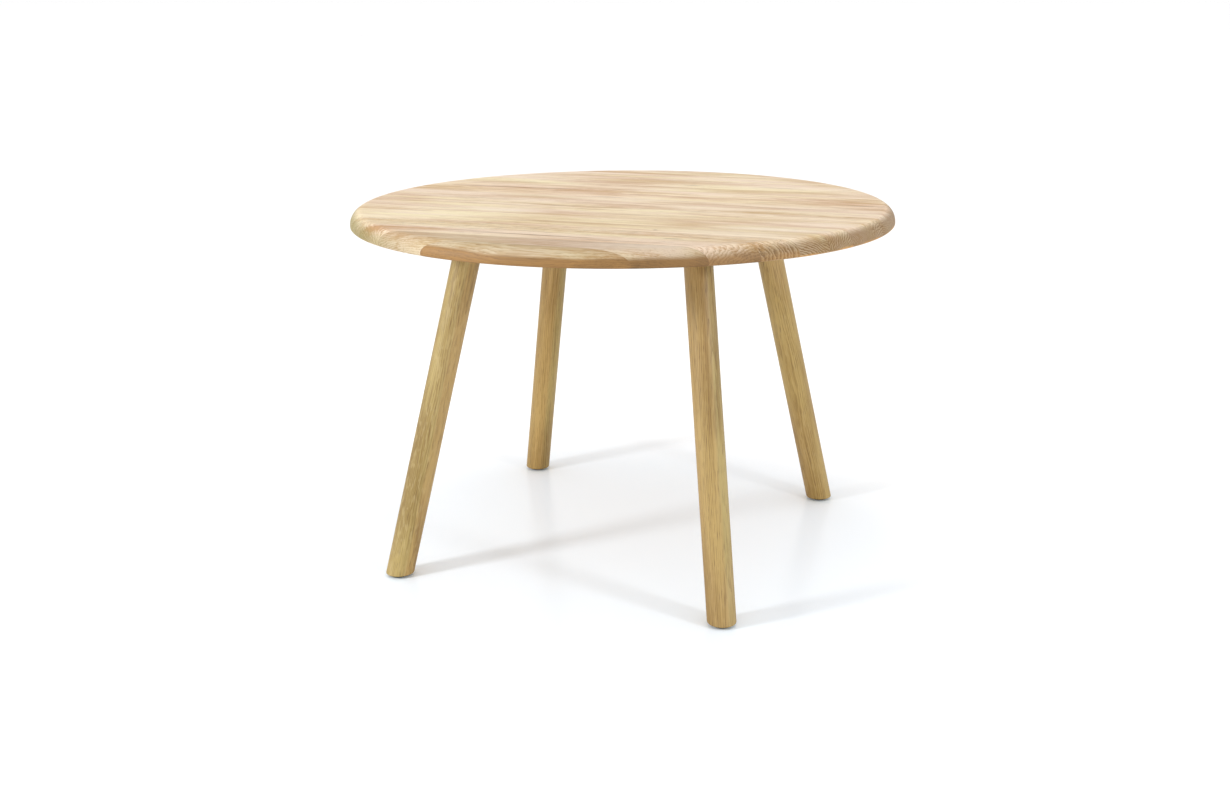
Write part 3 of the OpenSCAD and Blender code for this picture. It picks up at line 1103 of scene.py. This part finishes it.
def recesses(legs, fittings):
    """Everything that is cut out of the underside for the steel."""
    room = fittings.room
    top_of_bush = fittings.plate_thickness + fittings.bush_length + room
    pocket = turned([
        (PLATE_DIAMETER / 2 + room, -OVERCUT),
        (PLATE_DIAMETER / 2 + room, fittings.plate_thickness),
        (fittings.bush_diameter / 2 + room, fittings.plate_thickness),
        (fittings.bush_diameter / 2 + room, top_of_bush),
    ], 96)
    tools = [at_each(pocket, [Matrix.Translation(mount_point(place, legs)) for place in PLACES])]

    half, wall = CHANNEL_WIDTH / 2 + room, fittings.channel_wall + 2 * room
    groove = CHANNEL_HEIGHT + room
    outline = [
        (-half, -OVERCUT), (half, -OVERCUT), (half, groove), (half - wall, groove),
        (half - wall, fittings.channel_wall), (wall - half, fittings.channel_wall),
        (wall - half, groove), (-half, groove),
    ]
    for channel in CHANNELS:
        low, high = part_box(f"stiffening_channel_{channel}")
        length = high.y + room
        shape = extruded(outline, -length, length)
        place = Matrix.Translation(((low.x + high.x) / 2, 0.0, UNDERSIDE))
        bmesh.ops.transform(shape, matrix=place @ ALONG_Y, verts=shape.verts)
        tools.append(shape)

    hole_radius = fittings.screw_diameter / 2 + HOLE_ROOM
    places = [p for place in PLACES for p in plate_screw_places(legs, fittings, place)]
    places += [p for channel in CHANNELS for p in channel_screw_places(fittings, channel)]
    # The holes start inside the pockets and grooves, because ends flush with theirs spoil the cut
    inside = fittings.channel_wall / 2
    hole = turned([(hole_radius, inside), (hole_radius, fittings.screw_length + HOLE_ROOM)], 24)
    tools.append(at_each(hole, places))
    return together(*tools)


class OAKTABLE_OT_staves(bpy.types.Operator):
    """Make the round top as oak staves glued edge to edge"""

    bl_idname = "oaktable.staves"
    bl_label = "Top staves"

    def execute(self, context):
        scene = context.scene
        top = carved(whole_top(scene.oaktable_top), recesses(scene.oaktable_legs, scene.oaktable_fittings))
        for number, cad_node in enumerate(STAVES, 1):
            low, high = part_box(cad_node)[0].y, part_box(cad_node)[1].y
            shape = top.copy()
            trim(shape, (0, low, 0), (0, -1, 0))
            trim(shape, (0, high, 0), (0, 1, 0))
            material = oak_of_stave(number, low, high, scene.oaktable_oak)
            add_piece(f"oak_stave_{number:02d}", shape, material, "oak_top", cad_node)
        top.free()
        return {"FINISHED"}


class OAKTABLE_OT_legs(bpy.types.Operator):
    """Make the four turned and splayed oak legs"""

    bl_idname = "oaktable.legs"
    bl_label = "Legs"

    def execute(self, context):
        scene = context.scene
        legs, fittings = scene.oaktable_legs, scene.oaktable_fittings
        for place in PLACES:
            start, direction = mount_point(place, legs), leg_direction(place, legs)
            radius = legs.diameter / 2
            length = (UNDERSIDE - FOOT_HEIGHT) / -direction.z
            spare = legs.diameter
            shape = turned([(radius, length + spare), (radius, -spare)], legs.steps)
            lay = Vector((0, 0, 1)).rotation_difference(direction).to_matrix().to_4x4()
            bmesh.ops.transform(shape, matrix=Matrix.Translation(start) @ lay, verts=shape.verts)
            trim(shape, (0, 0, UNDERSIDE), (0, 0, 1))
            trim(shape, (0, 0, FOOT_HEIGHT), (0, 0, -1))
            sole = [e for e in shape.edges if all(abs(v.co.z - FOOT_HEIGHT) < 1e-6 for v in e.verts)]
            bmesh.ops.bevel(
                shape, geom=sole, offset=legs.foot_edge, segments=5, profile=0.5,
                affect="EDGES", clamp_overlap=True)
            bolt_radius = fittings.bolt_diameter / 2 + HOLE_ROOM
            hole = turned([(bolt_radius, OVERCUT), (bolt_radius, -fittings.bolt_depth - HOLE_ROOM)], 32)
            bmesh.ops.translate(hole, verts=hole.verts, vec=start)
            material = oak_of_leg(place, start, direction, scene.oaktable_oak)
            add_piece(f"oak_leg_{place}", carved(shape, hole), material, "oak_leg", f"leg_{place}")
        return {"FINISHED"}


class OAKTABLE_OT_leg_plates(bpy.types.Operator):
    """Make the round steel plates that carry the legs"""

    bl_idname = "oaktable.leg_plates"
    bl_label = "Leg plates"

    def execute(self, context):
        legs, fittings = context.scene.oaktable_legs, context.scene.oaktable_fittings
        material = powder_coated_steel(fittings)
        rim, bush = PLATE_DIAMETER / 2, fittings.bush_diameter / 2
        bore = fittings.bolt_diameter / 2 + HOLE_ROOM
        thickness, top = fittings.plate_thickness, fittings.plate_thickness + fittings.bush_length
        soft = 0.6 * MM
        outline = [(bore + soft, 0.0), (rim - 3 * soft, 0.0)]
        outline += arc((rim - soft, soft), soft, -90, 0, 3)
        outline += arc((rim - soft, thickness - soft), soft, 0, 90, 3)
        outline += [(bush, thickness), (bush, top - soft), (bush - soft, top), (bore + soft, top)]
        outline += [(bore, top - soft), (bore, soft)]
        hole = fittings.screw_diameter / 2 + HOLE_ROOM
        head = fittings.head_diameter / 2 + HOLE_ROOM
        sink = turned([
            (head + OVERCUT, -OVERCUT),
            (head, 0.0),
            (hole, head - hole),
            (hole, thickness + OVERCUT),
        ], 32)
        sinks = at_each(sink, plate_screw_places(legs, fittings, PLACES[0]))
        bmesh.ops.translate(sinks, verts=sinks.verts, vec=-mount_point(PLACES[0], legs))
        plate = carved(turned(outline, 96, hollow=True), sinks)
        for place in PLACES:
            shape = at_each(plate.copy(), [Matrix.Translation(mount_point(place, legs))])
            add_piece(f"steel_plate_{place}", shape, material, "plate_steel", f"leg_plate_{place}")
        plate.free()
        return {"FINISHED"}


class OAKTABLE_OT_channels(bpy.types.Operator):
    """Make the folded steel channels that keep the top flat"""

    bl_idname = "oaktable.channels"
    bl_label = "Stiffening channels"

    def execute(self, context):
        fittings = context.scene.oaktable_fittings
        material = powder_coated_steel(fittings)
        wall, height = fittings.channel_wall, CHANNEL_HEIGHT
        half = CHANNEL_WIDTH / 2
        outer, inner = wall * 1.5, wall * 0.5
        right = arc((half - outer, outer), outer, -90, 0, 6)
        right += [(half, height), (half - wall, height)]
        right += arc((half - outer, outer), inner, 0, -90, 4)
        left = [(-x, y) for x, y in reversed(right)]
        outline = right + left
        slot_width = fittings.screw_diameter + 2 * fittings.room
        straight = (fittings.slot_length - slot_width) / 2
        slot_outline = arc((0.0, straight), slot_width / 2, 0, 180, 10)
        slot_outline += arc((0.0, -straight), slot_width / 2, 180, 360, 10)
        for channel in CHANNELS:
            low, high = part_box(f"stiffening_channel_{channel}")
            place = Matrix.Translation(((low.x + high.x) / 2, 0.0, UNDERSIDE))
            shape = extruded(outline, low.y, high.y)
            bmesh.ops.transform(shape, matrix=place @ ALONG_Y, verts=shape.verts)
            slot = extruded(slot_outline, -OVERCUT, wall + OVERCUT)
            shape = carved(shape, at_each(slot, channel_screw_places(fittings, channel)))
            add_piece(
                f"steel_channel_{channel}", shape, material, "plate_steel", f"stiffening_channel_{channel}")
        return {"FINISHED"}


def socket_outline(fittings, face):
    """Outline of a hexagon socket, from its bottom out to the head's face at that height."""
    size, depth = fittings.socket_size / 2, fittings.socket_depth
    return [
        (size * 0.1, face + depth),
        (size, face + depth * 0.9, True),
        (size, face + size * 0.2, True),
        (size * 1.2, face),
    ]


def shank_outline(fittings, start):
    """Outline of a screw's shank, from its head to its tip."""
    radius, length = fittings.screw_diameter / 2, fittings.screw_length
    return [(radius, start), (radius, length - radius / 2), (radius / 2, length)]


class OAKTABLE_OT_screws(bpy.types.Operator):
    """Make the screws and finish the bolts"""

    bl_idname = "oaktable.screws"
    bl_label = "Screws and bolts"

    def execute(self, context):
        legs, fittings = context.scene.oaktable_legs, context.scene.oaktable_fittings
        zinc = zinc_plated_steel(fittings)
        head, shank = fittings.head_diameter / 2, fittings.screw_diameter / 2

        outline = socket_outline(fittings, 0.0)
        outline += [(head - 0.2 * MM, 0.0), (head, 0.1 * MM)]
        outline += shank_outline(fittings, head - shank)
        places = [p for place in PLACES for p in plate_screw_places(legs, fittings, place)]
        screws = at_each(turned(outline, 36), places)
        add_piece("countersunk_screws", screws, zinc, "zinc_screw", "plate_screws")

        face = -fittings.head_height
        outline = socket_outline(fittings, face)
        # The round head is flat inside its crown and falls to a rim a quarter as high
        crown, rim_share, crown_steps = head * 0.62, 0.25, 8
        for step in range(crown_steps + 1):
            angle = math.radians(90 * step / crown_steps)
            radius = crown + (head - crown) * math.sin(angle)
            outline.append((radius, face * (rim_share + (1 - rim_share) * math.cos(angle))))
        outline.append((head, 0.0))
        outline += shank_outline(fittings, 0.0)
        places = [p for channel in CHANNELS for p in channel_screw_places(fittings, channel)]
        screws = at_each(turned(outline, 36), places)
        add_piece("round_head_screws", screws, zinc, "zinc_screw", "channel_screws")

        finish_cad_nodes(zinc, "glide_screws", *(f"leg_bolt_{place}" for place in PLACES))
        return {"FINISHED"}


class OAKTABLE_OT_glides(bpy.types.Operator):
    """Make the moulded nylon glides under the feet"""

    bl_idname = "oaktable.glides"
    bl_label = "Glides"

    def execute(self, context):
        legs, fittings = context.scene.oaktable_legs, context.scene.oaktable_fittings
        material = moulded_nylon(fittings)
        rim, soft = GLIDE_DIAMETER / 2, 0.8 * MM
        recess = FELT_DIAMETER / 2 + 0.3 * MM
        # Radii of the screw's hole and of the sink for its head
        hole, sink = 1.85 * MM, 3.6 * MM
        outline = [(hole, FOOT_HEIGHT), (rim - 0.4 * MM, FOOT_HEIGHT), (rim, FOOT_HEIGHT - 0.4 * MM)]
        outline += arc((rim - soft, GLIDE_BOTTOM + soft), soft, 0, -90, 5)
        outline += [
            (recess + 0.2 * MM, GLIDE_BOTTOM),
            (recess, GLIDE_BOTTOM + 0.2 * MM),
            (recess, FELT_TOP),
            (sink, FELT_TOP),
            (hole, FELT_TOP + sink - hole),
        ]
        for place in PLACES:
            foot = foot_point(place, legs)
            shape = at_each(turned(outline, 72, hollow=True), [Matrix.Translation((foot.x, foot.y, 0.0))])
            add_piece(f"nylon_glide_{place}", shape, material, "glide_nylon", f"glide_{place}")
        return {"FINISHED"}


class OAKTABLE_OT_felt_pads(bpy.types.Operator):
    """Make the felt pads in the glides"""

    bl_idname = "oaktable.felt_pads"
    bl_label = "Felt pads"

    def execute(self, context):
        legs, fittings = context.scene.oaktable_legs, context.scene.oaktable_fittings
        material = pressed_wool_felt(fittings)
        rim, soft = FELT_DIAMETER / 2, 0.5 * MM
        outline = [(rim - 0.2 * MM, FELT_TOP), (rim, FELT_TOP - 0.2 * MM)]
        outline += arc((rim - soft, soft), soft, 0, -90, 5)
        outline.append((rim - soft - FLAT_RING, 0.0))
        for place in PLACES:
            foot = foot_point(place, legs)
            shape = at_each(turned(outline, 72), [Matrix.Translation((foot.x, foot.y, 0.0))])
            add_piece(f"felt_disc_{place}", shape, material, "felt", f"felt_pad_{place}")
        return {"FINISHED"}


# Stage

def white_floor(stage):
    """A smooth painted floor: matt white with a thin gleam, in which the feet mirror faintly.

    It looks brighter to the camera than it is to the table, so that it is white right up to the
    shadows, which it keeps. Under the table it looks less bright to the camera, a painted pool of
    shade, and a little cooler, against the warm light that the oak throws down. From below it can be
    seen through, so that the underside of the table shows.
    """
    material, tree, output = empty_material("white_painted_floor")
    # Metres from the middle of the shadows to where their floor, the painted pool of shade, ends and the
    # open floor starts
    middle, shaded, open_floor = (0.0, -0.06, 0.0), 0.52, 1.10
    ray = add_node(tree, "ShaderNodeLightPath")
    place = add_node(tree, "ShaderNodeTexCoord").outputs["Object"]
    reach = add_node(tree, "ShaderNodeVectorMath", {
        0: place,
        1: middle,
    }, operation="DISTANCE")
    away = add_node(tree, "ShaderNodeMapRange", {
        "Value": reach.outputs["Value"],
        "From Min": shaded,
        "From Max": open_floor,
    }, interpolation_type="SMOOTHSTEP")
    # Painted shade: near the table the camera sees the floor dimmer and cooler, further out brighter.
    seen = add_node(tree, "ShaderNodeMix", {
        MIX_SHARE: away.outputs[0],
        MIX_FROM: (0.91 * stage.floor_near_painted_shade, stage.floor_near_painted_shade, 1.09 * stage.floor_near_painted_shade, 1.0),
        MIX_TO: (stage.floor_far, stage.floor_far, stage.floor_far, 1.0),
    }, data_type="RGBA")
    colour = add_node(tree, "ShaderNodeMix", {
        MIX_SHARE: ray.outputs["Is Camera Ray"],
        MIX_FROM: (stage.floor_bounce, stage.floor_bounce, stage.floor_bounce, 1.0),
        MIX_TO: seen.outputs[MIX_RESULT],
    }, data_type="RGBA")
    matt = add_node(tree, "ShaderNodeBsdfDiffuse", {"Color": colour.outputs[MIX_RESULT]})
    mirrored = add_node(tree, "ShaderNodeMix", {
        MIX_SHARE: away.outputs[0],
        MIX_FROM: (1.0, 0.84, 0.70, 1.0),
        MIX_TO: (1.0, 1.0, 1.0, 1.0),
    }, data_type="RGBA")
    gleam = add_node(tree, "ShaderNodeBsdfGlossy", {
        "Color": mirrored.outputs[MIX_RESULT],
        "Roughness": 0.22,
    })
    mirror = add_node(tree, "ShaderNodeFresnel", {"IOR": 1.35})
    paint = add_node(tree, "ShaderNodeMixShader", {
        0: mirror.outputs[0],
        1: matt.outputs[0],
        2: gleam.outputs[0],
    })
    clear = add_node(tree, "ShaderNodeBsdfTransparent")
    one_sided = add_node(tree, "ShaderNodeMixShader", {
        0: add_node(tree, "ShaderNodeNewGeometry").outputs["Backfacing"],
        1: paint.outputs[0],
        2: clear.outputs[0],
    })
    tree.links.new(one_sided.outputs[0], output.inputs["Surface"])
    return material


def white_room(stage):
    """A world that is plain white to the camera and in mirrors, and lights the table evenly."""
    world = bpy.data.worlds.new("white_room")
    world.use_nodes = True
    tree = world.node_tree
    tree.nodes.clear()
    ray = add_node(tree, "ShaderNodeLightPath")
    seen = add_node(tree, "ShaderNodeMath", {
        0: ray.outputs["Is Camera Ray"],
        1: ray.outputs["Is Glossy Ray"],
    }, operation="MAXIMUM")
    seen = add_node(tree, "ShaderNodeMath", {
        0: seen.outputs[0],
        1: ray.outputs["Is Transmission Ray"],
    }, operation="MAXIMUM")
    strength = add_node(tree, "ShaderNodeMapRange", {
        "Value": seen.outputs[0],
        "To Min": stage.sky,
        "To Max": 1.0,
    })
    sky = add_node(tree, "ShaderNodeBackground", {
        "Color": (1.0, 1.0, 1.0, 1.0),
        "Strength": strength.outputs[0],
    })
    output = add_node(tree, "ShaderNodeOutputWorld")
    tree.links.new(sky.outputs[0], output.inputs["Surface"])
    return world


def round_lamp(name, place, size, power):
    """A round soft lamp that shines on the middle of the table."""
    data = bpy.data.lights.new(name, "AREA")
    data.shape = "DISK"
    data.size = size
    data.energy = power
    lamp = bpy.data.objects.new(name, data)
    lamp.location = place
    away = Vector(place) - Vector((0.0, 0.0, TOP_HEIGHT / 2))
    lamp.rotation_euler = away.to_track_quat("Z", "Y").to_euler()
    lamp.visible_camera = False
    bpy.context.scene.collection.objects.link(lamp)


class OAKTABLE_OT_stage(bpy.types.Operator):
    """Make the floor, the light and the camera"""

    bl_idname = "oaktable.stage"
    bl_label = "Stage"

    def execute(self, context):
        scene = context.scene
        stage = scene.oaktable_stage
        scene.view_settings.view_transform = "Standard"

        ground = bmesh.new()
        bmesh.ops.create_grid(ground, x_segments=1, y_segments=1, size=FLOOR_REACH)
        mesh = bpy.data.meshes.new("floor")
        ground.to_mesh(mesh)
        ground.free()
        mesh.materials.append(white_floor(stage))
        floor = bpy.data.objects.new("floor", mesh)
        scene.collection.objects.link(floor)

        scene.world = white_room(stage)
        round_lamp("key_lamp", stage.key_place, stage.key_size, stage.key_power)
        round_lamp("fill_lamp", stage.fill_place, stage.fill_size, stage.fill_power)

        data = bpy.data.cameras.new("camera")
        data.lens = stage.lens
        data.sensor_width = SENSOR_WIDTH
        data.clip_end = SIGHT
        camera = bpy.data.objects.new("camera", data)
        scene.collection.objects.link(camera)
        level = math.cos(stage.camera_pitch)
        forward = Vector((
            level * math.cos(stage.camera_bearing),
            level * math.sin(stage.camera_bearing),
            -math.sin(stage.camera_pitch),
        ))
        upright = forward.to_track_quat("-Z", "Y").to_matrix()
        lean = Matrix.Rotation(-stage.camera_lean, 3, "Z")
        camera.matrix_world = Matrix.Translation(stage.camera_place) @ (upright @ lean).to_4x4()
        scene.camera = camera
        return {"FINISHED"}


# Registration

class OAKTABLE_PT_sidebar(bpy.types.Panel):
    """Lists the steps that build the table, and their settings"""

    bl_idname = "OAKTABLE_PT_sidebar"
    bl_label = "Oak Dining Table"
    bl_space_type = "VIEW_3D"
    bl_region_type = "UI"
    bl_category = "Table"

    def draw(self, context):
        for step in STEPS:
            self.layout.operator(step.bl_idname)
        for group, kind in SETTINGS.items():
            values = getattr(context.scene, group)
            for name in kind.__annotations__:
                self.layout.prop(values, name)


SETTINGS = {
    "oaktable_top": TopSettings,
    "oaktable_legs": LegSettings,
    "oaktable_fittings": FittingSettings,
    "oaktable_oak": OakSettings,
    "oaktable_stage": StageSettings,
}
STEPS = (
    OAKTABLE_OT_staves,
    OAKTABLE_OT_legs,
    OAKTABLE_OT_leg_plates,
    OAKTABLE_OT_channels,
    OAKTABLE_OT_screws,
    OAKTABLE_OT_glides,
    OAKTABLE_OT_felt_pads,
    OAKTABLE_OT_stage,
)


def register():
    for kind in (*SETTINGS.values(), *STEPS, OAKTABLE_PT_sidebar):
        bpy.utils.register_class(kind)
    for name, kind in SETTINGS.items():
        setattr(bpy.types.Scene, name, bpy.props.PointerProperty(type=kind))


def unregister():
    for name in SETTINGS:
        delattr(bpy.types.Scene, name)
    for kind in reversed((*SETTINGS.values(), *STEPS, OAKTABLE_PT_sidebar)):
        bpy.utils.unregister_class(kind)


def main():
    register()
    bpy.ops.oaktable.staves()
    bpy.ops.oaktable.legs()
    bpy.ops.oaktable.leg_plates()
    bpy.ops.oaktable.channels()
    bpy.ops.oaktable.screws()
    bpy.ops.oaktable.glides()
    bpy.ops.oaktable.felt_pads()
    bpy.ops.oaktable.stage()


if __name__ == "__main__":
    main()
